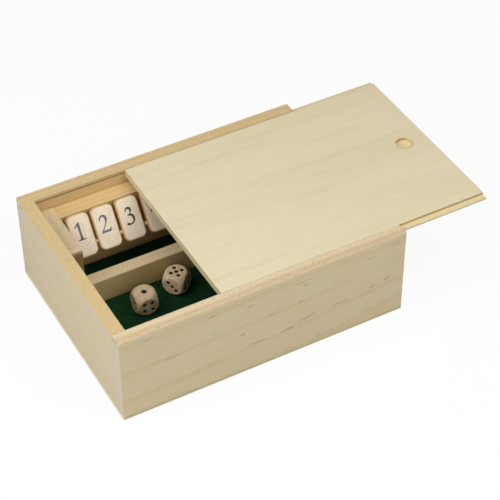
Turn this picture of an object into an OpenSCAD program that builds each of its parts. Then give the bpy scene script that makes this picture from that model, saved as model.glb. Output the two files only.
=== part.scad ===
// Shut the box game: a low wooden box with nine flip-down number tiles on one rod,
// a felted dice bay, two wooden dice and a plywood lid that slides in two grooves.
// Frame: +X along the long side, the way the lid slides open; +Y from the front wall
// to the back wall; +Z up. Origin: the middle of the flat underside.
// It stands with the lid drawn about a third of its way out and all tiles up.

/* [Box] */
// Length of the box along X
box_l = 216; // [206:1:260]
// Width of the box along Y
box_w = 162.5; // [152:0.5:200]
// Height of the box from underside to rim
box_h = 71; // [66:0.5:85]
// Thickness of the four walls
wall_t = 9.6; // [8:0.2:11]
// Thickness of the panel glued under the walls
bottom_t = 3; // [2:0.5:5]
// Radius of the rounded top edges of walls, rail and divider
rim_r = 0.4; // [0.3:0.1:1.5]
// Radius of the box's four upright corners
corner_r = 0.6; // [0.4:0.1:3]

/* [Felted bays] */
// Thickness of the board under the dice bay's felt
board_t = 1.8; // [1:0.1:3]
// Thickness of the board under the tile bay's felt
tile_board_t = 4.7; // [1:0.1:8]
// Thickness of the felt
felt_t = 1.2; // [0.6:0.1:2]
// Gap between the boards and felts and the wood round them
bay_gap = 0.2; // [0.1:0.1:0.6]
// Depth of the tile bay, from the divider's front to the back wall
tile_bay_w = 49.8; // [48:0.2:56]
// Thickness of the divider between the two bays
divider_t = 10; // [6:0.2:11]
// How far the divider's top lies below the rod
divider_drop = 16.7; // [15:0.1:20]

/* [Rail, blocks and rod] */
// Thickness of the rest rail that the tiles lean on
rail_t = 12.8; // [9:0.2:14]
// How far the rail and the block tops lie below the lid
rail_drop = 5.5; // [4:0.5:6]
// Thickness of each end block along X
block_t = 12.7; // [11:0.1:15]
// Radius of the rounded front corner of each end block
block_r = 4.5; // [3:0.5:16]
// Diameter of the rod
rod_d = 3; // [2.4:0.1:3.6]
// Depth of the rod's blind hole in each end block
rod_seat = 8; // [5:0.5:9]
// Distance from the rod's axis to the rest rail
rod_to_rail = 15.3; // [14:0.1:17]
// Clearance round the rod in its holes, on the radius
run_gap = 0.05; // [0.02:0.01:0.1]

/* [Number tiles] */
// Length of a tile above the rod's axis
tile_up = 23.1; // [21:0.1:24.5]
// Length of a tile below the rod's axis
tile_down = 8.3; // [6:0.1:9]
// Width of a tile
tile_w = 17.2; // [14:0.1:17.5]
// Thickness of a tile
tile_t = 6; // [5:0.1:7]
// Corner radius of a tile's face
tile_r = 4.6; // [2:0.1:5]
// Radius of the rounded edges round a tile
tile_arris = 1.8; // [0.5:0.1:2]
// Clearance between a swinging tile and the lid
lid_clear = 0.23; // [0.1:0.01:1]

/* [Sliding lid] */
// Thickness of the lid
lid_t = 6; // [5.6:0.1:7]
// Thickness of the wall wood above the groove
lip_t = 2.2; // [1.8:0.1:2.6]
// Thickness of the tongue along each side of the lid
tongue_t = 1.4; // [1:0.1:2]
// How far each tongue stands out from the lid's side
tongue_reach = 4.2; // [3:0.1:4.8]
// Gap above and below each tongue in its groove
tongue_gap = 0.15; // [0.1:0.05:0.3]
// Gap between the lid's sides and the walls
lid_gap = 0.25; // [0.15:0.05:0.5]
// Radius of the sanded edges round the lid
lid_arris = 0.5; // [0.2:0.1:0.9]
// How far the lid stands drawn out
lid_open = 69; // [0:1:130]
// Diameter of the blind finger recess in the lid
recess_d = 13; // [10:0.5:16]
// Depth of the finger recess
recess_deep = 2.8; // [1.5:0.1:4]
// Distance from the recess's centre to the lid's right end
recess_in = 18.5; // [14:0.5:30]

/* [Dice] */
// Edge length of a die
die_edge = 16; // [14:0.5:16]
// Diameter of the ball that rounds a die's corners, as a share of its edge
die_ball = 1.34; // [1.25:0.01:1.4]
// Diameter of a drilled pip
pip_d = 2.9; // [1.8:0.1:3.2]
// Diameter of the single pip on the face of one
ace_d = 4; // [2.4:0.1:4.6]
// Depth of the drilled pips
pip_deep = 0.4; // [0.2:0.1:0.8]
// Distance between neighbouring pips
pip_step = 2.9; // [2.4:0.1:4]

/* [Hidden] */
tile_count = 9;
// where each tile has slid to on the rod, as a share of the free gap beside it
tile_slid = [0.48, 0.18, 0.06, 0.37, 0.12, -0.1, 0.15, -0.05, -0.2];
inner_l = box_l - 2 * wall_t;
inner_w = box_w - 2 * wall_t;
bay_l = inner_l - 2 * block_t;
felt_top = bottom_t + board_t + felt_t;
lid_under = box_h - lid_t;
rail_top = lid_under - rail_drop;
rail_face = inner_w / 2 - rail_t;
bay_front = inner_w / 2 - tile_bay_w;
groove_top = box_h - lip_t;
groove_t = tongue_t + 2 * tongue_gap;
groove_deep = tongue_reach - lid_gap + 0.4;
end_gap = 0.3;
lid_l = box_l - wall_t - end_gap;
lid_body_w = inner_w - 2 * lid_gap;
right_top = lid_under - 0.3;
// the tile's far end swings on this radius about the rod
swing_r = norm([tile_up - tile_arris, tile_t / 2 - tile_arris]) + tile_arris;
rod_y = rail_face - rod_to_rail;
rod_z = lid_under - lid_clear - swing_r;
divider_top = rod_z - divider_drop;
rod_hole_d = rod_d + 2 * run_gap;
rod_l = bay_l + 2 * (rod_seat - 0.3);
// a tile leans back until its rounded back edge meets the rail's face
lean_up = tile_up - tile_arris;
lean_back = tile_t / 2 - tile_arris;
lean_reach = rod_to_rail - tile_arris - 0.05;
tile_tilt = atan2(lean_back, lean_up) + acos(lean_reach / norm([lean_up, lean_back]));
tile_pitch = bay_l / tile_count;
tile_play = tile_pitch - tile_w;
die_z = felt_top + die_edge / 2 + 0.05;
// the dice lie as thrown, near the left wall and the divider
die_1_at = [46.7 - inner_l / 2, bay_front - 21.2, die_z];
die_1_turn = 86;
die_2_at = [75.6 - inner_l / 2, bay_front - 14, die_z];
die_2_turn = 218.6;
WOOD = [0.84, 0.76, 0.62];
PLY = [0.87, 0.82, 0.70];
TILE = [0.88, 0.81, 0.71];
DIE = [0.80, 0.70, 0.58];
BOARD = [0.62, 0.47, 0.32];
FELT = [0.07, 0.22, 0.13];

// lays a profile drawn as (Y, Z) out along X, centred
module along_x(length) {
  rotate([90, 0, 90])
    linear_extrude(length, center = true)
      children();
}

// lays a profile drawn as (X, Z) out along Y, centred
module along_y(length) {
  rotate([90, 0, 0])
    linear_extrude(length, center = true)
      children();
}

// rectangle with four round corners, centred
module round_rect(w, h, r) {
  square([w - 2 * r, h], center = true);
  square([w, h - 2 * r], center = true);
  for (x = [-1, 1], y = [-1, 1])
    translate([x * (w / 2 - r), y * (h / 2 - r)])
      circle(r = r, $fn = 48);
}

// upright board section from z0 to z1 with both top edges rounded, centred in width
module board_section(t, z0, z1) {
  translate([-t / 2, z0])
    square([t, z1 - z0 - rim_r]);
  translate([-t / 2 + rim_r, z0])
    square([t - 2 * rim_r, z1 - z0]);
  for (side = [-1, 1])
    translate([side * (t / 2 - rim_r), z1 - rim_r])
      circle(r = rim_r, $fn = 32);
}

// the same with a crisp inner edge, which the end walls' rims run up to
module long_wall_section() {
  board_section(wall_t, bottom_t, box_h);
  translate([0, bottom_t])
    square([wall_t / 2, box_h - bottom_t]);
}

// plan of the whole box with its upright corners rounded
module box_plan(h) {
  linear_extrude(h)
    round_rect(box_l, box_w, corner_r);
}

// long wall: its groove runs out through both ends and guides the lid's tongue
module long_wall() {
  intersection() {
    translate([0, -(box_w - wall_t) / 2, 0])
      along_x(box_l)
        difference() {
          long_wall_section();
          translate([wall_t / 2 - groove_deep, groove_top - groove_t])
            square([groove_deep + 1, groove_t]);
        }
    box_plan(box_h);
  }
}

module front_wall() {
  color(WOOD)
    long_wall();
}

module back_wall() {
  color(WOOD)
    mirror([0, 1, 0])
      long_wall();
}

// end wall between the long walls, up to height z1
module end_wall(side, z1) {
  translate([side * (box_l - wall_t) / 2, 0, 0])
    along_y(inner_w)
      board_section(wall_t, bottom_t, z1);
}

module left_wall() {
  color(WOOD)
    end_wall(-1, box_h);
}

module right_wall() {
  color(WOOD)
    end_wall(1, right_top);
}

module bottom_panel() {
  color(PLY)
    box_plan(bottom_t);
}

// flat sheet in a bay between two Y values
module bay_sheet(l, y0, y1, z0, t) {
  translate([0, (y0 + y1) / 2, z0 + t / 2])
    cube([l - 2 * bay_gap, y1 - y0 - 2 * bay_gap, t], center = true);
}

module dice_bay_board() {
  color(BOARD)
    bay_sheet(inner_l, -inner_w / 2, bay_front, bottom_t, board_t);
}

module dice_bay_felt() {
  color(FELT)
    bay_sheet(inner_l, -inner_w / 2, bay_front, bottom_t + board_t, felt_t);
}

module tile_bay_board() {
  color(BOARD)
    bay_sheet(bay_l, bay_front + divider_t, rail_face, bottom_t, tile_board_t);
}

module tile_bay_felt() {
  color(FELT)
    bay_sheet(bay_l, bay_front + divider_t, rail_face, bottom_t + tile_board_t, felt_t);
}

module divider() {
  color(WOOD)
    translate([0, bay_front + divider_t / 2, 0])
      along_x(bay_l)
        board_section(divider_t, bottom_t, divider_top);
}

module rest_rail() {
  color(WOOD)
    translate([0, rail_face + rail_t / 2, 0])
      along_x(bay_l)
        board_section(rail_t, bottom_t, rail_top);
}

// end block: fills the bay's end, round front corner, blind hole for the rod
module rod_block(side) {
  difference() {
    translate([side * (inner_l - block_t) / 2, 0, 0])
      along_x(block_t)
        union() {
          translate([bay_front, bottom_t])
            square([tile_bay_w, rail_top - block_r - bottom_t]);
          translate([bay_front + block_r, bottom_t])
            square([tile_bay_w - block_r, rail_top - bottom_t]);
          translate([bay_front + block_r, rail_top - block_r])
            circle(r = block_r, $fn = 96);
        }
    translate([side * (bay_l / 2 - 1), rod_y, rod_z])
      rotate([0, side * 90, 0])
        cylinder(d = rod_hole_d, h = rod_seat + 1, $fn = 48);
  }
}

module rod_block_left() {
  color(WOOD)
    rod_block(-1);
}

module rod_block_right() {
  color(WOOD)
    rod_block(1);
}

module rod() {
  color(WOOD)
    translate([0, rod_y, rod_z])
      rotate([0, 90, 0])
        cylinder(d = rod_d, h = rod_l, center = true, $fn = 48);
}

// board with four round corners and one round-over all the way round, centred
module soft_board(w, l, t, r, arris) {
  along_x(w - 2 * r)
    round_rect(l, t, arris);
  along_y(l - 2 * r)
    round_rect(w, t, arris);
  for (x = [-1, 1], y = [-1, 1])
    translate([x * (w / 2 - r), y * (l / 2 - r), 0])
      rotate_extrude($fn = 48)
        intersection() {
          round_rect(2 * r, t, arris);
          translate([0, -t / 2])
            square([r, t]);
        }
}

// one tile lying flat, number face up, rod bore along X through the origin
module flat_tile() {
  difference() {
    translate([0, (tile_up - tile_down) / 2, 0])
      soft_board(tile_w, tile_up + tile_down, tile_t, tile_r, tile_arris);
    rotate([0, 90, 0])
      cylinder(d = rod_hole_d, h = tile_w + 2, center = true, $fn = 48);
  }
}

// tile number k on the rod, leaning back against the rail
module tile(k) {
  x = (k - (tile_count + 1) / 2) * tile_pitch + tile_slid[k - 1] * tile_play;
  color(TILE)
    translate([x, rod_y, rod_z])
      rotate([tile_tilt, 0, 0])
        flat_tile();
}

module tile_1() { tile(1); }
module tile_2() { tile(2); }
module tile_3() { tile(3); }
module tile_4() { tile(4); }
module tile_5() { tile(5); }
module tile_6() { tile(6); }
module tile_7() { tile(7); }
module tile_8() { tile(8); }
module tile_9() { tile(9); }

// lid: a flat board with a tongue along each long side, sanded edges all round
// and a blind finger recess
module lid() {
  right_end = box_l / 2 + lid_open;
  mid_z = lid_under + lid_t / 2;
  tongue_z = groove_top - tongue_gap - tongue_t;
  color(PLY)
    difference() {
      translate([right_end - lid_l / 2, 0, 0])
        intersection() {
          along_x(lid_l)
            union() {
              translate([0, mid_z])
                round_rect(lid_body_w, lid_t, lid_arris);
              translate([-lid_body_w / 2 - tongue_reach, tongue_z])
                square([lid_body_w + 2 * tongue_reach, tongue_t]);
            }
          along_y(box_w)
            translate([0, mid_z])
              round_rect(lid_l, lid_t, lid_arris);
        }
      translate([right_end - recess_in, 0, box_h - recess_deep])
        cylinder(d = recess_d, h = recess_deep + 1, $fn = 64);
    }
}

// pips of one face, drilled from +Z; slant sets which diagonal two and three use
module pips(n, slant) {
  // the six's rows of three stand a little further apart
  row = n == 6 ? 1.2 * pip_step : pip_step;
  translate([0, 0, die_edge / 2 - pip_deep]) {
    if (n % 2 == 1)
      cylinder(d = n == 1 ? ace_d : pip_d, h = 1, $fn = 24);
    if (n > 1)
      for (s = [-1, 1])
        translate([s * pip_step, s * slant * row, 0])
          cylinder(d = pip_d, h = 1, $fn = 24);
    if (n > 3)
      for (s = [-1, 1])
        translate([s * pip_step, -s * slant * row, 0])
          cylinder(d = pip_d, h = 1, $fn = 24);
    if (n == 6)
      for (s = [-1, 1])
        translate([s * pip_step, 0, 0])
          cylinder(d = pip_d, h = 1, $fn = 24);
  }
}

// die: a cube rounded by a ball, opposite faces adding up to seven
module die() {
  difference() {
    intersection() {
      cube(die_edge, center = true);
      sphere(d = die_edge * die_ball, $fn = 72);
    }
    pips(1, 1);
    rotate([180, 0, 0])
      pips(6, 1);
    rotate([90, 0, 0])
      pips(2, 1);
    rotate([-90, 0, 0])
      pips(5, 1);
    rotate([0, 90, 0])
      pips(3, -1);
    rotate([0, -90, 0])
      pips(4, 1);
  }
}

module die_1() {
  color(DIE)
    translate(die_1_at)
      rotate([0, 0, die_1_turn])
        die();
}

module die_2() {
  color(DIE)
    translate(die_2_at)
      rotate([0, 0, die_2_turn])
        rotate([90, 0, 0])
          die();
}

front_wall();
back_wall();
left_wall();
right_wall();
bottom_panel();
dice_bay_board();
dice_bay_felt();
tile_bay_board();
tile_bay_felt();
divider();
rest_rail();
rod_block_left();
rod_block_right();
rod();
tile_1();
tile_2();
tile_3();
tile_4();
tile_5();
tile_6();
tile_7();
tile_8();
tile_9();
lid();
die_1();
die_2();
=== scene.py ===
# %% [markdown]
# # A wooden "shut the box" game
#
# The object is a small lacquered pine box for a dice game. Nine beech tiles stand on a
# rod at the back, two wooden dice lie on green felt in front of them, and a plywood lid
# is drawn a third of the way out. Every hard solid comes from the CAD frame and keeps
# its place and size. This lesson adds what CAD leaves out: light, wood, printed
# numbers, painted pips and felt.

# %% Load the frame
import math

import bmesh
import bpy
from mathutils import Matrix, Vector, noise


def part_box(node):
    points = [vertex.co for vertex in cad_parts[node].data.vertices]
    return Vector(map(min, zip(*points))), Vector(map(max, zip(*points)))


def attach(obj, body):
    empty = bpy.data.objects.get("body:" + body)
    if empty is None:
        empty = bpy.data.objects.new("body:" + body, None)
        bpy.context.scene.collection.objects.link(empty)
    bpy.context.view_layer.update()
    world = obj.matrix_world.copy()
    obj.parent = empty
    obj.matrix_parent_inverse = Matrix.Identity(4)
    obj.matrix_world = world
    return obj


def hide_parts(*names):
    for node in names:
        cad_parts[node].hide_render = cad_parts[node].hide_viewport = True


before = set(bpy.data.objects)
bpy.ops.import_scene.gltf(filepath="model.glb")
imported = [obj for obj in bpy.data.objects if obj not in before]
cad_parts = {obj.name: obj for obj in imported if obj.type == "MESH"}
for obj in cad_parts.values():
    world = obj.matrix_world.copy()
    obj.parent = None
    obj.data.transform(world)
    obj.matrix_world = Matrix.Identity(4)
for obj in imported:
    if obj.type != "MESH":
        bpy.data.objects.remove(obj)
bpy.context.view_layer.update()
MM = 0.001

# %% [markdown]
# ## Camera
# The picture was taken from the front left and above with a long lens, so the box's
# edges converge only a little. Place, aim and focal length were fitted to the corners
# of the box and lid. The frame is square, so a sensor of 36 mm spans both ways.

# %% Camera
SENSOR_MM = 36
IMAGE_PX = 500
FOCAL_PX = 1692.5
camera_place = Vector((-394.1, -772.1, 835.5)) * MM
view_right = Vector((0.87420, -0.48555, -0.00310))
view_ahead = Vector((0.35546, 0.64432, -0.67712))
view_up = view_right.cross(view_ahead)

camera_data = bpy.data.cameras.new("camera")
camera_data.sensor_width = SENSOR_MM
camera_data.lens = FOCAL_PX * SENSOR_MM / IMAGE_PX
camera_data.clip_start = 0.05
camera = bpy.data.objects.new("camera", camera_data)
turn = Matrix((view_right, view_up, -view_ahead)).transposed()
camera.matrix_world = Matrix.Translation(camera_place) @ turn.to_4x4()
bpy.context.scene.collection.objects.link(camera)
bpy.context.scene.camera = camera
print("lens in mm:", round(camera_data.lens, 1))

# %% [markdown]
# ## Node helper
# A finish is a small network of shader nodes. One function adds a node with its
# settings and links and hands back an output, so that each finish below reads like a
# recipe.

# %% Helpers for materials
def colour(code):
    """Linear RGBA of an sRGB hex code."""
    parts = [int(code[i:i + 2], 16) / 255 for i in (1, 3, 5)]
    return [p / 12.92 if p <= 0.04045 else ((p + 0.055) / 1.055) ** 2.4 for p in parts] + [1]


def add(tree, kind, inputs=(), take=0, **settings):
    """Adds a shader node; inputs maps a socket to a number, a hex code or another output."""
    made = tree.nodes.new("ShaderNode" + kind)
    for name, value in settings.items():
        setattr(made, name, value)
    for socket, value in dict(inputs).items():
        if isinstance(value, bpy.types.NodeSocket):
            tree.links.new(value, made.inputs[socket])
        else:
            made.inputs[socket].default_value = colour(value) if isinstance(value, str) else value
    return made.outputs[take] if made.outputs else made


def new_material(name):
    material = bpy.data.materials.new(name)
    material.use_nodes = True
    material.node_tree.nodes.clear()
    return material, material.node_tree


# %% [markdown]
# ## Stage
# The box stands on a plain white table. Seen directly, the table and the backdrop are
# white; for every other ray they are a pale matt surface that catches a soft shadow and
# throws light back up.

# %% Table
TABLE_HALF = 3
TABLE_DROP = 0.2 * MM
TABLE_GLOW = 0.92

table_white, tree = new_material("matt_white_table")
looked_at = add(tree, "LightPath", take="Is Camera Ray")
seen = add(tree, "Math", {0: looked_at, 1: TABLE_GLOW}, operation="MULTIPLY")
matt = add(tree, "BsdfDiffuse", {"Color": "#F4F4F4"})
glow = add(tree, "Emission", {"Color": "#FFFFFF", "Strength": 1})
add(tree, "OutputMaterial", {"Surface": add(tree, "MixShader", {0: seen, 1: matt, 2: glow})})

plane = bmesh.new()
bmesh.ops.create_grid(plane, x_segments=1, y_segments=1, size=TABLE_HALF)
table_mesh = bpy.data.meshes.new("table")
plane.to_mesh(table_mesh)
plane.free()
table_mesh.materials.append(table_white)
table = bpy.data.objects.new("table", table_mesh)
table.location.z = -TABLE_DROP
bpy.context.scene.collection.objects.link(table)

# %% [markdown]
# ## Light
# Plain studio light. A faint even surround keeps the shadows from going black. Six soft
# boxes do the rest. Two stand at the left, low and high, two in front, one high at the
# front right and one overhead. So the lid is brightest, the left wall is brighter than
# the front wall, and inside the box the light falls off to the right, under the lid.

# %% World and soft boxes
SURROUND = 0.03
BOX_SIZE = 0.7
BOX_AWAY = 1.2
# each box's direction around (0 is the lid's end) and up, in degrees, and its watts
SOFT_BOXES = {"low_left_box": (182, 30, 4.7), "high_left_box": (180, 55, 4.1),
              "front_left_box": (225, 30, 1.5), "front_box": (270, 32, 3.2),
              "front_right_box": (312, 52, 5.0), "top_box": (150, 86, 3.0)}

world = bpy.data.worlds.new("white_surround")
world.use_nodes = True
sky = world.node_tree
sky.nodes.clear()
direct = add(sky, "LightPath", take="Is Camera Ray")
level = add(sky, "Math", {0: direct, 1: 1 - SURROUND, 2: SURROUND}, operation="MULTIPLY_ADD")
add(sky, "OutputWorld", {"Surface": add(sky, "Background", {"Color": "#FFFFFF", "Strength": level})})
bpy.context.scene.world = world

for name, (azimuth, height, watts) in SOFT_BOXES.items():
    lamp_data = bpy.data.lights.new(name, "AREA")
    lamp_data.shape = "SQUARE"
    lamp_data.size = BOX_SIZE
    lamp_data.energy = watts
    lamp = bpy.data.objects.new(name, lamp_data)
    around, up = math.radians(azimuth), math.radians(height)
    away = Vector((math.cos(around) * math.cos(up), math.sin(around) * math.cos(up), math.sin(up)))
    aim = (-away).to_track_quat("-Z", "Y").to_matrix().to_4x4()
    lamp.matrix_world = Matrix.Translation(away * BOX_AWAY) @ aim
    bpy.context.scene.collection.objects.link(lamp)
bpy.context.scene.view_settings.view_transform = "Standard"

# %% [markdown]
# ## What all woods share
# Wood is a solid pattern, so every finish is worked out in space, in real millimetres,
# and agrees on faces, edges and ends. The coordinates are turned so that X runs with
# the grain. Noise stretched along X gives fibres and streaks. All pieces are sanded and
# wear one thin coat of clear matt lacquer; a Bevel node softens their edges for the eye
# by the fraction of a millimetre that sanding takes off.

# %% Helpers for wood
def grain_frame(tree, turn_deg=(0, 0, 0), shift_mm=(0, 0, 0)):
    """Object coordinates in mm, turned so that X runs with the grain."""
    place = add(tree, "TexCoord", take="Object")
    return add(tree, "Mapping", {"Vector": place, "Scale": (1 / MM,) * 3, "Location": shift_mm,
                                 "Rotation": [math.radians(a) for a in turn_deg]})


def stretched_noise(tree, grain, along_mm, across_mm, detail=2, roughness=0.5):
    """Noise whose features are along_mm long with the grain and across_mm wide."""
    scaled = add(tree, "Mapping", {"Vector": grain, "Scale": (1 / along_mm, 1 / across_mm, 1 / across_mm)})
    return add(tree, "TexNoise", {"Vector": scaled, "Scale": 1, "Detail": detail, "Roughness": roughness},
               take="Fac")


def layered(tree, base, *coats):
    """Lays coats over a base colour; each is a mask, the strength where it is 1, and a colour."""
    for mask, strength, code in coats:
        amount = add(tree, "Math", {0: mask, 1: strength}, operation="MULTIPLY")
        base = add(tree, "Mix", {0: amount, 6: base, 7: code}, take=2, data_type="RGBA")
    return base


def facing(tree, direction, low=0.5, high=0.85):
    """1 on faces that look along a direction of the piece, 0 on the others."""
    normal = add(tree, "TexCoord", take="Normal")
    along = add(tree, "VectorMath", {0: normal, 1: direction}, take="Value", operation="DOT_PRODUCT")
    return add(tree, "MapRange", {0: along, 1: low, 2: high})


def lacquer(tree, base, height, relief_mm=0.03, sanded_mm=0.3, roughness=(0.42, 0.55)):
    """Clear matt lacquer over a wood colour; height is the relief left in the grain."""
    edges = add(tree, "Bevel", {"Radius": sanded_mm * MM}, samples=6)
    bump = add(tree, "Bump", {"Strength": 1, "Distance": relief_mm * MM, "Height": height, "Normal": edges})
    gloss = add(tree, "MapRange", {0: height, 3: roughness[1], 4: roughness[0]})
    wood = add(tree, "BsdfPrincipled", {"Base Color": base, "Roughness": gloss, "IOR": 1.5, "Normal": bump})
    add(tree, "OutputMaterial", {"Surface": wood})


def dress(material, *nodes):
    """Puts a finish on CAD solids; only the material in the slot is exchanged."""
    for name in nodes:
        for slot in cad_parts[name].material_slots:
            slot.material = material
    print(material.name, "on", ", ".join(nodes))


# %% [markdown]
# ## Pine
# Walls, rail, blocks and divider are planed radiata pine. It is flat sawn: a growth ring
# passes slowly through the face, so its line wanders along the board about 22 mm from
# the next one, while the same rings lie only a few mm apart in the top edge and the end.
# Each ring darkens towards its outer line and starts pale again. Resin canals cut along
# their length show as short dark dashes, mostly near those lines. The plainest dashes of
# the front wall are placed one by one, where the picture has them.

# %% Pine
RING_MM = 22
RING_LINE_MM = 47.5
RING_STEEP = 4.5
RISE = 0.043
RISE_MORE = 0.0002
LEVER_MM = 65
LEVER_STEP_MM = 23
DASH_STRENGTH = 0.5
RESIN_BROWN = "#7D6A4A"
PORE_BROWN = "#A9784C"
# resin dashes of the front wall: middle along and up the board, half length, half height, slope
FRONT_DASHES_MM = [
    (-8, 23.3, 7.5, 0.8, 0), (16, 24.3, 6.5, 0.9, 0.1), (31.5, 28.3, 9, 0.9, 0.17), (57, 29.8, 7, 0.8, 0.1),
    (82, 33, 3.5, 0.9, 0.05), (94, 35, 3.5, 0.9, 0.1), (-19, 36, 3.5, 0.8, 0.3), (26, 45.3, 3, 0.7, 0.2),
    (-70, 40.8, 9, 0.6, 0), (4, 43.6, 5, 0.5, 0.1), (-13, 59, 3, 0.7, 0.3), (29, 59, 2.5, 1, 0),
    (-42, 63.3, 4, 0.6, 0.1), (80, 60, 4, 0.6, 0.1), (28, 62.7, 9, 0.5, 0.05), (-88, 65.4, 5, 0.6, 0)]
WALL_DEEP_MM = 1000


def resin_dashes(tree, grain, marks):
    """Dark dashes with ragged edges at given places of a board's face."""
    ragged = stretched_noise(tree, grain, 3, 0.7, 2, 0.7)
    dashes = 0
    for along, up, half_long, half_high, slope in marks:
        local = add(tree, "Mapping", {"Vector": grain, "Location": (along, 0, up),
                                      "Scale": (half_long, WALL_DEEP_MM, half_high),
                                      "Rotation": (0, -math.atan(slope), 0)}, vector_type="TEXTURE")
        away = add(tree, "VectorMath", {0: local}, take="Value", operation="LENGTH")
        away = add(tree, "Math", {0: ragged, 1: 1.6, 2: away}, operation="MULTIPLY_ADD")
        mark = add(tree, "MapRange", {0: away, 1: 1.2, 2: 1.9, 3: 1, 4: 0})
        dashes = add(tree, "Math", {0: mark, 1: dashes}, operation="MAXIMUM")
    return dashes


def pine(name, turn_deg=(0, 0, 0), shift_mm=(0, 0, 0), body="#C7B793", tan="#BB9F6C", rim="#D8C09A",
         rim_highlight=None, end="#C4B8A0", inner=None, inside="#C6A871", ring=0.4, canals=0.2, specks=0.5,
         marks=()):
    """Planed pine: body colour, colours of rim, ends and inside, and how strong the grain's marks are."""
    material, tree = new_material(name)
    grain = grain_frame(tree, turn_deg, shift_mm)
    along, deep, across = add(tree, "SeparateXYZ", {0: grain}).node.outputs

    # the board's fibres rise towards one end, more so towards its lower edge
    rise = add(tree, "Math", {0: along, 1: RISE_MORE, 2: RISE}, operation="MULTIPLY_ADD")
    rise = add(tree, "Math", {0: rise, 1: along}, operation="MULTIPLY")
    lever = add(tree, "Math", {0: across, 1: -1 / LEVER_STEP_MM, 2: LEVER_MM / LEVER_STEP_MM},
                operation="MULTIPLY_ADD")
    bend = add(tree, "Math", {0: rise, 1: lever}, operation="MULTIPLY")
    sway = stretched_noise(tree, grain, 60, 14)
    level = add(tree, "Math", {0: across, 1: bend}, operation="SUBTRACT")
    level = add(tree, "Math", {0: sway, 1: 3, 2: level}, operation="MULTIPLY_ADD")
    followed = add(tree, "CombineXYZ", {0: along, 1: deep, 2: level})

    # growth rings: pale early wood, darker late wood, then a sudden start anew
    turned = add(tree, "Math", {0: deep, 1: RING_STEEP, 2: level}, operation="MULTIPLY_ADD")
    rings = add(tree, "Math", {0: turned, 1: 1 / RING_MM, 2: -RING_LINE_MM / RING_MM},
                operation="MULTIPLY_ADD")
    age = add(tree, "Math", {0: rings}, operation="FRACT")
    late = add(tree, "MapRange", {0: age, 1: 0.62, 2: 0.92}, interpolation_type="SMOOTHSTEP")
    fade = add(tree, "MapRange", {0: age, 1: 0.95, 2: 1, 3: 1, 4: 0})
    late = add(tree, "Math", {0: late, 1: fade}, operation="MULTIPLY")
    patches = stretched_noise(tree, followed, 120, 10)
    patchy = add(tree, "MapRange", {0: patches, 1: 0.35, 2: 0.65, 3: 0.35, 4: 1})
    late = add(tree, "Math", {0: late, 1: patchy}, operation="MULTIPLY")

    # resin canals, close to the ring lines
    from_line = add(tree, "Math", {0: rings, 1: 0.5}, operation="PINGPONG")
    near_line = add(tree, "MapRange", {0: from_line, 1: 0.04, 2: 0.25, 3: 1, 4: 0.3})
    canal = add(tree, "MapRange", {0: stretched_noise(tree, followed, 7, 0.9, 1), 1: 0.62, 2: 0.7})
    canal = add(tree, "Math", {0: canal, 1: near_line}, operation="MULTIPLY")

    fibre = stretched_noise(tree, followed, 16, 0.6, 3, 0.65)
    fibres = add(tree, "MapRange", {0: fibre, 1: 0.35, 2: 0.75})
    clouds = add(tree, "MapRange", {0: stretched_noise(tree, grain, 50, 14), 1: 0.35, 2: 0.65})
    pores = add(tree, "MapRange", {0: stretched_noise(tree, grain, 2, 0.7, 1), 1: 0.62, 2: 0.7})
    top = facing(tree, (0, 0, 1))
    pores = add(tree, "Math", {0: pores, 1: top}, operation="MULTIPLY")
    looks = add(tree, "VectorRotate", {"Vector": add(tree, "TexCoord", take="Normal"),
                                       "Rotation": [math.radians(a) for a in turn_deg]},
                rotation_type="EULER_XYZ")
    ends = add(tree, "Math", {0: add(tree, "SeparateXYZ", {0: looks})}, operation="ABSOLUTE")
    ends = add(tree, "MapRange", {0: ends, 1: 0.6, 2: 0.9})

    coats = [(clouds, 0.15, tan), (top, 0.9, rim), (ends, 0.95, end)]
    # inner faces get the inside colour, warmer and yellower than the body: partly the wood's own tone,
    # partly painted warm bounce light
    if inner:
        coats.append((facing(tree, inner), 0.9, inside))
    # the inner part of the rim is painted paler: a painted highlight along the rim's inner edge
    if rim_highlight:
        inward = add(tree, "MapRange", {0: deep, 1: 3, 2: 8.5}, interpolation_type="SMOOTHSTEP")
        coats.append((add(tree, "Math", {0: inward, 1: top}, operation="MULTIPLY"), 0.7, rim_highlight))
    coats += [(late, ring, tan), (fibres, 0.08, RESIN_BROWN), (canal, canals, RESIN_BROWN),
              (pores, specks, PORE_BROWN)]
    if marks:
        coats.append((resin_dashes(tree, grain, marks), DASH_STRENGTH, RESIN_BROWN))
    relief = add(tree, "Math", {0: fibre, 1: canal}, operation="SUBTRACT")
    lacquer(tree, layered(tree, colour(body), *coats), relief)
    return material


dress(pine("lacquered_pine_front_wall", shift_mm=(0, 81.25, 0), rim_highlight="#EADBB8", inner=(0, 1, 0),
           marks=FRONT_DASHES_MM), "front_wall")
dress(pine("lacquered_pine_back_wall", shift_mm=(70, -71.65, 6), body="#D2B683", tan="#BC955A",
           rim="#D9C191", inner=(0, -1, 0), inside="#D6B67E"), "back_wall")
dress(pine("lacquered_pine_end_walls", turn_deg=(0, 0, -90), shift_mm=(0, 108, 12), body="#C8B998",
           tan="#BCA67E", rim="#D9BE89", ring=0.25, canals=0.08, specks=0.3), "left_wall", "right_wall")
dress(pine("lacquered_pine_rail", shift_mm=(40, 70, 5), body="#C9A971", tan="#B98F52", rim="#D6B983",
           canals=0.1, specks=0.15), "rest_rail")
dress(pine("lacquered_pine_divider", shift_mm=(90, -20, 30), body="#DFC58A", rim="#EAD3AA", ring=0.2,
           canals=0.1, specks=0.2), "divider")
# the blocks' ends, their front faces among them, are dark brown: end grain, darkened further by painted
# shade
dress(pine("lacquered_pine_blocks", turn_deg=(0, 0, -90), shift_mm=(15, 9, 33), body="#C9AF86",
           rim="#E0CAA4", end="#94714A", ring=0.2, canals=0.05, specks=0.1),
      "rod_block_left", "rod_block_right")

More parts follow.
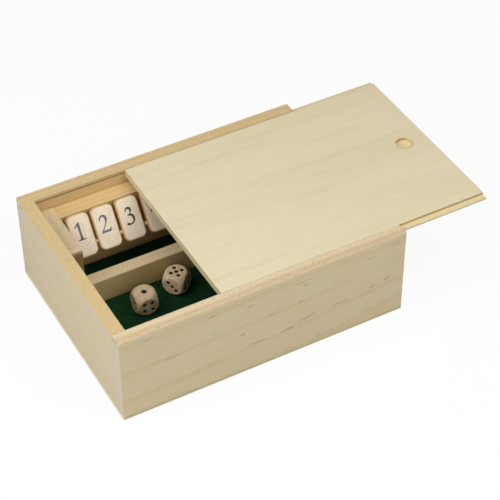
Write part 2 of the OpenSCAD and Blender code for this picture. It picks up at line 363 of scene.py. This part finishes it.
# %% [markdown]
# ## Birch plywood lid
# The lid is 6 mm plywood. Its faces are thin peeled veneers: cream, very even, with
# long faint brown and olive streaks a few mm wide and one small dark bark fleck near
# the left end. On the edges the inner plies show, tan where their grain is cut, with
# dark glue lines between them; across the grain the ends look paler. The finger recess
# is cut down to an inner ply. The base and the boards under the felt are thinner ply.

# %% Plywood lid
SKIN_MM = 0.8
FLECK_AT_MM = (35, 67.2, 0)
FLECK_HALF_MM = (4.2, 0.75, 60)
GLUE_MM = 0.2
BOARD_VENEER = "#CDB78C"


def plywood(name, low_mm, top_mm, lines_mm, veneer="#E5D9B7", core="#BEA67A", ply="#CFC098",
            glue="#94794E", fleck=True):
    """Plywood between two heights, with glue lines at given heights above its underside."""
    material, tree = new_material(name)
    grain = grain_frame(tree)
    height = add(tree, "SeparateXYZ", {0: grain}, take="Z")
    normal = add(tree, "SeparateXYZ", {0: add(tree, "TexCoord", take="Normal")}, take="Z")
    flat = add(tree, "MapRange", {0: add(tree, "Math", {0: normal}, operation="ABSOLUTE"), 1: 0.5, 2: 0.8})
    above = add(tree, "Math", {0: height, 1: top_mm - SKIN_MM}, operation="GREATER_THAN")
    below = add(tree, "Math", {0: height, 1: low_mm + SKIN_MM}, operation="LESS_THAN")
    skin = add(tree, "Math", {0: above, 1: below}, operation="ADD")
    face = add(tree, "Math", {0: skin, 1: flat}, operation="MULTIPLY")

    # plies seen from the side
    thick = top_mm - low_mm
    layer = add(tree, "MapRange", {0: height, 1: low_mm, 2: top_mm})
    plies = add(tree, "ValToRGB", {0: layer}, take="Color")
    bands = plies.node.color_ramp
    bands.interpolation = "CONSTANT"
    bands.elements[0].color = colour(ply)
    bands.elements[1].position = 1
    bands.elements[1].color = colour(ply)
    for number, line in enumerate(lines_mm):
        bands.elements.new(line / thick).color = colour(glue)
        bands.elements.new((line + GLUE_MM) / thick).color = colour(ply if number % 2 else core)
    open_grain = add(tree, "MapRange", {0: stretched_noise(tree, grain, 0.5, 0.5, 3, 0.7), 1: 0.4, 2: 0.7})

    # veneer: broad soft clouds, a few long streaks, fine short fibres
    clouds = add(tree, "MapRange", {0: stretched_noise(tree, grain, 120, 28), 1: 0.35, 2: 0.65})
    brown = add(tree, "MapRange", {0: stretched_noise(tree, grain, 120, 9), 1: 0.55, 2: 0.75})
    olive_grain = add(tree, "Mapping", {"Vector": grain, "Location": (300, 200, 100)})
    olive = add(tree, "MapRange", {0: stretched_noise(tree, olive_grain, 90, 8), 1: 0.55, 2: 0.75})
    mottle = add(tree, "MapRange", {0: stretched_noise(tree, grain, 4, 1.6, 3, 0.7), 1: 0.35, 2: 0.7})
    fibre = stretched_noise(tree, grain, 14, 0.5, 3, 0.6)
    fibres = add(tree, "MapRange", {0: fibre, 1: 0.4, 2: 0.75})
    sheet = layered(tree, colour(veneer), (clouds, 0.12, "#D2B685"), (brown, 0.15, "#BC9A70"),
                    (olive, 0.1, "#C0AE70"), (mottle, 0.05, "#A88C5C"), (fibres, 0.03, "#A89068"))
    if fleck:
        from_fleck = add(tree, "VectorMath", {0: grain, 1: FLECK_AT_MM}, operation="SUBTRACT")
        from_fleck = add(tree, "VectorMath", {0: from_fleck, 1: FLECK_HALF_MM}, operation="DIVIDE")
        away = add(tree, "VectorMath", {0: from_fleck}, take="Value", operation="LENGTH")
        ragged = add(tree, "Math", {0: fibre, 1: 0.9, 2: away}, operation="MULTIPLY_ADD")
        mark = add(tree, "MapRange", {0: ragged, 1: 1.1, 2: 1.5, 3: 1, 4: 0})
        sheet = layered(tree, sheet, (mark, 0.75, "#4A3826"))
    ends = add(tree, "Math", {0: facing(tree, (1, 0, 0)), 1: facing(tree, (-1, 0, 0))}, operation="ADD")
    inside = layered(tree, plies, (ends, 0.5, "#F4E4BC"), (open_grain, 0.15, "#9C7A48"),
                     (flat, 0.7, "#E8D6A6"))
    base = add(tree, "Mix", {0: face, 6: inside, 7: sheet}, take=2, data_type="RGBA")
    lacquer(tree, base, fibre, relief_mm=0.015, sanded_mm=0.25)
    return material


dress(plywood("birch_plywood_lid", 65, 71, (0.8, 2.2, 3.8, 5.2)), "lid")
dress(plywood("birch_plywood_base", 0, 3, (0.9, 1.9), veneer=BOARD_VENEER, core="#C2B28C", ply="#C6B893",
              glue="#8C7A56", fleck=False), "bottom_panel")
dress(plywood("thin_board_under_felt", 3, 4.8, (0.6, 1.2), veneer=BOARD_VENEER, fleck=False),
      "dice_bay_board")
dress(plywood("thick_board_under_felt", 3, 7.7, (0.8, 2.2, 3.8), veneer=BOARD_VENEER, fleck=False),
      "tile_bay_board")

# %% [markdown]
# ## Beech tiles
# The tiles are steamed beech, tumbled smooth: a pale pinkish face with short fine
# flecks (the rays) along the grain, which runs up the tile. Their rounded edges and
# flanks are painted warmer and darker than the face: painted shade.

# %% Beech
TILE_LEAN_DEG = 54.14
lean = math.radians(TILE_LEAN_DEG)
tile_up = Vector((0, math.cos(lean), math.sin(lean)))
tile_out = Vector((0, -math.sin(lean), math.cos(lean)))


def beech(name):
    material, tree = new_material(name)
    grain = grain_frame(tree, turn_deg=(90 - TILE_LEAN_DEG, 90, 0))
    flecks = add(tree, "MapRange", {0: stretched_noise(tree, grain, 2.2, 0.35, 1), 1: 0.55, 2: 0.7})
    fibre = stretched_noise(tree, grain, 9, 0.4, 2, 0.6)
    clouds = add(tree, "MapRange", {0: stretched_noise(tree, grain, 12, 5), 1: 0.35, 2: 0.65})
    # edges and flanks, away from the face, get a warmer darker colour: painted shade
    front = facing(tree, tile_out, 0.75, 0.97)
    edge = add(tree, "Math", {0: 1, 1: front}, operation="SUBTRACT")
    base = layered(tree, colour("#F0E0C8"), (clouds, 0.3, "#DCC6A2"), (flecks, 0.3, "#B08C66"),
                   (fibre, 0.12, "#C4A27C"), (edge, 0.85, "#BE935C"))
    lacquer(tree, base, fibre, relief_mm=0.02, sanded_mm=0.5)
    return material


dress(beech("tumbled_beech_tiles"), *[f"tile_{k}" for k in range(1, 10)])

# %% [markdown]
# ## Turned wood: dice and rod
# The dice are cut from maple and tumbled with wax until corners and edges are soft and
# shine a little. The rod is a plain birch dowel.

# %% Maple dice and birch dowel
def turned_wood(name, body, vein, sanded_mm, roughness, turn_deg=(0, 0, 0)):
    material, tree = new_material(name)
    grain = grain_frame(tree, turn_deg=turn_deg)
    veins = add(tree, "MapRange", {0: stretched_noise(tree, grain, 20, 2.2), 1: 0.4, 2: 0.7})
    flecks = add(tree, "MapRange", {0: stretched_noise(tree, grain, 1.6, 0.3, 1), 1: 0.56, 2: 0.7})
    fibre = stretched_noise(tree, grain, 8, 0.35, 2, 0.6)
    base = layered(tree, colour(body), (veins, 0.35, vein), (flecks, 0.22, vein), (fibre, 0.12, vein))
    lacquer(tree, base, fibre, relief_mm=0.01, sanded_mm=sanded_mm, roughness=roughness)
    return material


dress(turned_wood("waxed_maple_die_1", "#E8CEA8", "#A9865C", 1.1, (0.3, 0.4), (0, 90, 20)), "die_1")
dress(turned_wood("waxed_maple_die_2", "#F0D6AE", "#B0905F", 1.1, (0.3, 0.4), (0, 30, -38)), "die_2")
dress(turned_wood("birch_dowel", "#D9BE93", "#B8946A", 0.3, (0.45, 0.55)), "rod")

# %% [markdown]
# ## Felt
# Both bays are lined with green wool felt, glued down. Felt is a mat of crimped fibres:
# it has no weave, takes light softly and glows a little along its nap. Each sheet is
# modelled as cloth cut to the bay, thick as the CAD piece it stands for, with a slightly
# uneven top and a cut edge pressed down by the knife.

# %% Felt material
def felt(name):
    material, tree = new_material(name)
    grain = grain_frame(tree)
    tufts = stretched_noise(tree, grain, 0.35, 0.35, 4, 0.7)
    clouds = add(tree, "MapRange", {0: stretched_noise(tree, grain, 9, 9), 1: 0.3, 2: 0.7})
    base = layered(tree, colour("#123619"), (clouds, 0.6, "#08190C"), (tufts, 0.45, "#1E5230"))
    nap = add(tree, "Bump", {"Strength": 1, "Distance": 0.15 * MM, "Height": tufts})
    cloth = add(tree, "BsdfPrincipled", {"Base Color": base, "Roughness": 0.95, "IOR": 1.45,
                                         "Sheen Weight": 0.06, "Sheen Roughness": 0.6,
                                         "Sheen Tint": "#3F7A55", "Specular IOR Level": 0.15, "Normal": nap})
    add(tree, "OutputMaterial", {"Surface": cloth})
    return material


# %% Felt sheets
FELT_TRIM_MM = 0.1
FELT_CELL_MM = 2.5
FELT_WAVE_MM = 0.12
FELT_WAVE_LONG_MM = 14
FELT_PRESSED_MM = 0.35
green = felt("green_wool_felt")


def felt_sheet(name, node):
    low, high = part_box(node)
    trim = FELT_TRIM_MM * MM
    width, length = (high[i] - low[i] - 2 * trim for i in (0, 1))
    cloth = bmesh.new()
    cells = [round(side / (FELT_CELL_MM * MM)) for side in (width, length)]
    bmesh.ops.create_grid(cloth, x_segments=cells[0], y_segments=cells[1], size=0.5)
    bmesh.ops.scale(cloth, vec=(width, length, 1), verts=cloth.verts)
    middle = Vector(((low[0] + high[0]) / 2, (low[1] + high[1]) / 2, low[2]))
    bmesh.ops.translate(cloth, vec=middle, verts=cloth.verts)
    lifted = bmesh.ops.extrude_face_region(cloth, geom=cloth.faces[:])["geom"]
    top = [v for v in lifted if isinstance(v, bmesh.types.BMVert)]
    thick = high[2] - low[2]
    for vert in top:
        edge = min(width / 2 - abs(vert.co.x - middle.x), length / 2 - abs(vert.co.y - middle.y))
        pressed = FELT_PRESSED_MM * MM if edge < trim else 0
        wave = FELT_WAVE_MM * MM * (0.5 + 0.5 * noise.noise(vert.co / (FELT_WAVE_LONG_MM * MM)))
        vert.co.z += thick - wave - pressed
    bmesh.ops.recalc_face_normals(cloth, faces=cloth.faces)
    mesh = bpy.data.meshes.new(name)
    cloth.to_mesh(mesh)
    cloth.free()
    mesh.shade_smooth()
    mesh.materials.append(green)
    piece = bpy.data.objects.new(name, mesh)
    bpy.context.scene.collection.objects.link(piece)
    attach(piece, "box")
    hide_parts(node)
    print(name, "cut to", [round(side / MM, 1) for side in (width, length)], "mm")


felt_sheet("dice_bay_felt_sheet", "dice_bay_felt")
felt_sheet("tile_bay_felt_sheet", "tile_bay_felt")

# %% [markdown]
# ## Printed numbers
# Each tile carries its number, stamped in black ink in an old-style book face with thin
# and thick strokes. A number is drawn like lettering on paper: outlines of a few points,
# with smooth (s) or sharp (c) corners, one unit high. Blender's curves fill the outline,
# which becomes a thin film of ink on the tile's face. One and two are printed in
# blue-grey and violet-grey, and three is dark only at the foot.

# %% Outlines
s, c = "s", "c"
NUMBERS = {
    1: [
        [(-0.05, 0.785, c), (0.195, 1, c), (0.285, 1, c), (0.285, 0.13, s), (0.32, 0.06, s),
         (0.43, 0.045, c), (0.43, 0, c), (0, 0, c), (0, 0.045, c), (0.11, 0.06, s), (0.15, 0.13, s),
         (0.15, 0.83, c), (0.12, 0.845, s), (-0.03, 0.745, c)]],
    2: [
        [(0.035, 0.72, c), (0.05, 0.81, s), (0.13, 0.945, s), (0.27, 1, s), (0.43, 0.94, s), (0.5, 0.79, s),
         (0.475, 0.66, s), (0.4, 0.51, s), (0.27, 0.32, s), (0.125, 0.115, c), (0.46, 0.115, s),
         (0.53, 0.13, s), (0.58, 0.22, c), (0.615, 0.22, c), (0.555, 0, c), (0, 0, c), (0, 0.035, c),
         (0.15, 0.22, s), (0.29, 0.42, s), (0.36, 0.58, s), (0.375, 0.71, s), (0.355, 0.82, s),
         (0.3, 0.885, s), (0.215, 0.9, s), (0.13, 0.85, s), (0.075, 0.71, c)]],
    3: [
        [(0.045, 0.78, c), (0.1, 0.905, s), (0.24, 1, s), (0.385, 0.945, s), (0.44, 0.82, s),
         (0.405, 0.7, s), (0.315, 0.605, c), (0.43, 0.54, s), (0.51, 0.43, s), (0.53, 0.3, s),
         (0.48, 0.14, s), (0.35, 0.02, s), (0.16, -0.015, s), (0.04, 0, s), (0, 0.055, s),
         (0.025, 0.105, s), (0.09, 0.11, s), (0.17, 0.065, s), (0.25, 0.05, s), (0.35, 0.1, s),
         (0.41, 0.21, s), (0.41, 0.34, s), (0.345, 0.455, s), (0.245, 0.51, s), (0.15, 0.515, c),
         (0.15, 0.545, c), (0.25, 0.585, s), (0.325, 0.67, s), (0.34, 0.77, s), (0.305, 0.86, s),
         (0.225, 0.895, s), (0.14, 0.86, s), (0.075, 0.765, c)]],
    4: [
        [(0.34, 1, c), (0.425, 1, c), (0.425, 0.345, c), (0.57, 0.345, c), (0.57, 0.245, c),
         (0.425, 0.245, c), (0.425, 0, c), (0.305, 0, c), (0.305, 0.245, c), (0, 0.245, c), (0, 0.34, c)],
        [(0.305, 0.345, c), (0.065, 0.345, c), (0.305, 0.8, c)]],
    5: [
        [(0.17, 0.985, c), (0.5, 0.985, c), (0.465, 0.865, c), (0.205, 0.865, c), (0.17, 0.745, c),
         (0.31, 0.7, s), (0.44, 0.6, s), (0.51, 0.44, s), (0.505, 0.28, s), (0.425, 0.11, s),
         (0.27, 0.005, s), (0.11, -0.015, s), (0.025, 0.01, s), (0, 0.06, s), (0.03, 0.105, s),
         (0.1, 0.095, s), (0.17, 0.055, s), (0.255, 0.06, s), (0.35, 0.135, s), (0.395, 0.27, s),
         (0.37, 0.42, s), (0.285, 0.52, s), (0.175, 0.565, s), (0.055, 0.58, c)]],
    6: [
        [(0.5, 1, c), (0.3, 0.935, s), (0.13, 0.78, s), (0.035, 0.57, s), (0.015, 0.34, s),
         (0.075, 0.13, s), (0.19, 0.005, s), (0.29, -0.015, s), (0.43, 0.04, s), (0.52, 0.17, s),
         (0.53, 0.34, s), (0.465, 0.49, s), (0.345, 0.565, s), (0.24, 0.56, s), (0.145, 0.51, c),
         (0.19, 0.69, s), (0.31, 0.865, s), (0.505, 0.975, c)],
        [(0.135, 0.43, s), (0.215, 0.49, s), (0.315, 0.48, s), (0.39, 0.37, s), (0.4, 0.22, s),
         (0.35, 0.08, s), (0.275, 0.03, s), (0.19, 0.085, s), (0.135, 0.24, s)]],
    7: [
        [(0.04, 0.985, c), (0.545, 0.985, c), (0.545, 0.955, c), (0.245, -0.01, c), (0.165, -0.01, c),
         (0.43, 0.86, c), (0.16, 0.86, s), (0.09, 0.835, s), (0.03, 0.755, c), (0, 0.765, c)]],
    8: [
        [(0.27, 1, s), (0.42, 0.955, s), (0.48, 0.82, s), (0.45, 0.69, s), (0.335, 0.565, s),
         (0.47, 0.42, s), (0.52, 0.25, s), (0.46, 0.075, s), (0.27, -0.015, s), (0.08, 0.065, s),
         (0.025, 0.22, s), (0.065, 0.37, s), (0.195, 0.505, s), (0.075, 0.63, s), (0.045, 0.77, s),
         (0.11, 0.94, s)],
        [(0.265, 0.955, s), (0.355, 0.92, s), (0.38, 0.8, s), (0.35, 0.68, s), (0.285, 0.605, s),
         (0.175, 0.71, s), (0.15, 0.83, s), (0.185, 0.925, s)],
        [(0.22, 0.46, s), (0.14, 0.34, s), (0.125, 0.2, s), (0.175, 0.07, s), (0.275, 0.03, s),
         (0.375, 0.075, s), (0.41, 0.18, s), (0.38, 0.29, s), (0.3, 0.39, s)]]
}
NUMBER_TURN_X, NUMBER_TURN_Y = 0.545, 0.985
NUMBERS[9] = [[(NUMBER_TURN_X - x, NUMBER_TURN_Y - y, kind) for x, y, kind in loop] for loop in NUMBERS[6]]

# %% Ink
def ink(name, low_code, high_code, foot_mm=4.5, head_mm=17):
    material, tree = new_material(name)
    grain = grain_frame(tree)
    rod_low, rod_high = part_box("rod")
    pivot = Vector((0, (rod_low[1] + rod_high[1]) / 2, (rod_low[2] + rod_high[2]) / 2)) / MM
    from_rod = add(tree, "VectorMath", {0: grain, 1: pivot}, operation="SUBTRACT")
    up = add(tree, "VectorMath", {0: from_rod, 1: tile_up}, take="Value", operation="DOT_PRODUCT")
    height = add(tree, "MapRange", {0: up, 1: foot_mm, 2: head_mm})
    speckle = stretched_noise(tree, grain, 0.5, 0.5, 3, 0.7)
    worn = add(tree, "MapRange", {0: speckle, 1: 0.45, 2: 0.7})
    base = layered(tree, colour(low_code), (height, 1, high_code), (worn, 0.25, "#A79C92"))
    film = add(tree, "Bump", {"Strength": 1, "Distance": 0.01 * MM, "Height": speckle})
    coat = add(tree, "BsdfPrincipled", {"Base Color": base, "Roughness": 0.45, "IOR": 1.5, "Normal": film})
    add(tree, "OutputMaterial", {"Surface": coat})
    return material


# one and two are printed in blue-grey and violet-grey ink
blue_grey_ink = ink("blue_grey_stamp_ink", "#3F4657", "#565C6C")
violet_grey_ink = ink("violet_grey_stamp_ink", "#5F5D6E", "#5C5A68")
fading = ink("fading_stamp_ink", "#121114", "#333338")
fresh = ink("fresh_black_stamp_ink", "#17161A", "#1E1C20")
INKS = {1: blue_grey_ink, 2: violet_grey_ink, 3: fading}

# %% Numbers on the tiles
DIGIT_HIGH_MM = 12.5
DIGIT_SPREAD_MM = 0.12
# each stamp sits a little off the middle, as struck by hand: across the tile, and above the rod
STAMPED_MM = {1: (-1.33, 4.4), 2: (-0.76, 3.9), 3: (-0.59, 3.3)}
STAMPED_ELSE_MM = (-0.6, 4)
INK_THICK_MM = 0.05
INK_SUNK_MM = 0.01
TILE_HALF_THICK_MM = 3


def print_number(number):
    outline = bpy.data.curves.new(f"number_{number}_outline", "CURVE")
    outline.dimensions = "2D"
    outline.fill_mode = "BOTH"
    outline.resolution_u = 6
    outline.extrude = INK_THICK_MM / 2 / DIGIT_HIGH_MM
    outline.offset = DIGIT_SPREAD_MM / DIGIT_HIGH_MM
    for loop in NUMBERS[number]:
        line = outline.splines.new("BEZIER")
        line.bezier_points.add(len(loop) - 1)
        line.use_cyclic_u = True
        for point, (x, y, kind) in zip(line.bezier_points, loop):
            point.co = (x, y, 0)
            point.handle_left_type = point.handle_right_type = "AUTO" if kind == "s" else "VECTOR"
    drawn = bpy.data.objects.new(f"number_{number}_drawn", outline)
    bpy.context.scene.collection.objects.link(drawn)
    bpy.context.view_layer.update()
    mesh = bpy.data.meshes.new_from_object(drawn.evaluated_get(bpy.context.evaluated_depsgraph_get()))
    bpy.data.objects.remove(drawn)
    bpy.data.curves.remove(outline)

    tile_low, tile_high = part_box(f"tile_{number}")
    rod_low, rod_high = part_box("rod")
    pivot = Vector(((tile_low[0] + tile_high[0]) / 2, (rod_low[1] + rod_high[1]) / 2,
                    (rod_low[2] + rod_high[2]) / 2))
    width = [x for loop in NUMBERS[number] for x, y, kind in loop]
    centre = (min(width) + max(width)) / 2
    across, foot = STAMPED_MM.get(number, STAMPED_ELSE_MM)
    above_rod = TILE_HALF_THICK_MM - INK_SUNK_MM + INK_THICK_MM / 2
    onto_face = Matrix.Translation(Vector((across, foot, above_rod)) * MM)
    sized = Matrix.Scale(DIGIT_HIGH_MM * MM, 4) @ Matrix.Translation((-centre, 0, 0))
    mesh.transform(Matrix.Translation(pivot) @ Matrix.Rotation(lean, 4, "X") @ onto_face @ sized)
    mesh.name = f"number_{number}"
    mesh.materials.clear()
    mesh.materials.append(INKS.get(number, fresh))
    piece = bpy.data.objects.new(f"number_{number}", mesh)
    bpy.context.scene.collection.objects.link(piece)
    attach(piece, f"tile_{number}")
    print("number", number, "has", len(mesh.polygons), "faces")


for number in range(1, 10):
    print_number(number)

# %% [markdown]
# ## Pips
# A pip is a shallow drilled dimple with a drop of dark brown-black paint. Each drop is a
# small dish: full at the rim of the hole, sunk a little in the middle, and a bit glossy.

# %% Pips
DIE_HALF_MM = 8
PIP_STEP_MM = 2.9
SIX_ROW_STEPS = 1.2
PIP_RADIUS_MM = 1.44
ACE_RADIUS_MM = 1.99
PIP_FLOOR_MM = 0.4
PAINT_THICK_MM = 0.32
PIP_SIDES = 24
DIE_TURNS = {"die_1": Matrix.Rotation(math.radians(86), 4, "Z"),
             "die_2": (Matrix.Rotation(math.radians(218.6), 4, "Z")
                       @ Matrix.Rotation(math.radians(90), 4, "X"))}
# for each count, the axis and angle that turn the top to its face, and which way its row slants
FACE_TURNS = {1: ("X", 0, 1), 6: ("X", 180, 1), 2: ("X", 90, 1), 5: ("X", -90, 1),
              3: ("Y", 90, -1), 4: ("Y", -90, 1)}


def pip_paint():
    material, tree = new_material("brown_black_pip_paint")
    grain = grain_frame(tree)
    speckle = stretched_noise(tree, grain, 0.4, 0.4, 3, 0.7)
    base = layered(tree, colour("#1B1210"), (speckle, 0.3, "#33231C"))
    film = add(tree, "Bump", {"Strength": 1, "Distance": 0.02 * MM, "Height": speckle})
    coat = add(tree, "BsdfPrincipled", {"Base Color": base, "Roughness": 0.4, "IOR": 1.5, "Normal": film})
    add(tree, "OutputMaterial", {"Surface": coat})
    return material


def pip_places(count, slant):
    """Where a face's pips sit, in steps from its middle; the CAD drills them the same way."""
    row = SIX_ROW_STEPS if count == 6 else 1
    places = [(0, 0)] if count % 2 else []
    places += [(s, s * slant * row) for s in (-1, 1)] if count > 1 else []
    places += [(s, -s * slant * row) for s in (-1, 1)] if count > 3 else []
    return places + ([(s, 0) for s in (-1, 1)] if count == 6 else [])


def paint_pips(die, paint):
    low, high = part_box(die)
    centre = Matrix.Translation((Vector(low) + Vector(high)) / 2)
    drops = bmesh.new()
    for count, (axis, angle, slant) in FACE_TURNS.items():
        radius = ACE_RADIUS_MM if count == 1 else PIP_RADIUS_MM
        face = Matrix.Rotation(math.radians(angle), 4, axis)
        for x, y in pip_places(count, slant):
            at = Matrix.Translation((x * PIP_STEP_MM, y * PIP_STEP_MM, DIE_HALF_MM - PIP_FLOOR_MM + 0.01))
            disc = bmesh.ops.create_circle(drops, cap_ends=True, segments=PIP_SIDES, radius=radius)["verts"]
            bottom = list({f for v in disc for f in v.link_faces})
            raised = bmesh.ops.extrude_face_region(drops, geom=bottom, use_keep_orig=True)["geom"]
            film = [f for f in raised if isinstance(f, bmesh.types.BMFace)]
            upper = list({v for f in film for v in f.verts})
            bmesh.ops.translate(drops, vec=(0, 0, PAINT_THICK_MM), verts=upper)
            bmesh.ops.inset_region(drops, faces=film, thickness=radius * 0.3, depth=-0.08)
            dish = bmesh.ops.inset_region(drops, faces=film, thickness=radius * 0.35, depth=-0.05)["faces"]
            whole = list({v for v in disc + upper + [v for f in film + dish for v in f.verts]})
            bmesh.ops.transform(drops, matrix=face @ at, verts=whole)
    bmesh.ops.transform(drops, matrix=centre @ DIE_TURNS[die] @ Matrix.Scale(MM, 4), verts=drops.verts)
    bmesh.ops.recalc_face_normals(drops, faces=drops.faces)
    mesh = bpy.data.meshes.new(f"{die}_pips")
    drops.to_mesh(mesh)
    drops.free()
    mesh.materials.append(paint)
    piece = bpy.data.objects.new(f"{die}_pips", mesh)
    bpy.context.scene.collection.objects.link(piece)
    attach(piece, die)
    print(die, "has", sum(len(pip_places(n, 1)) for n in FACE_TURNS), "pips")


paint = pip_paint()
for die in DIE_TURNS:
    paint_pips(die, paint)
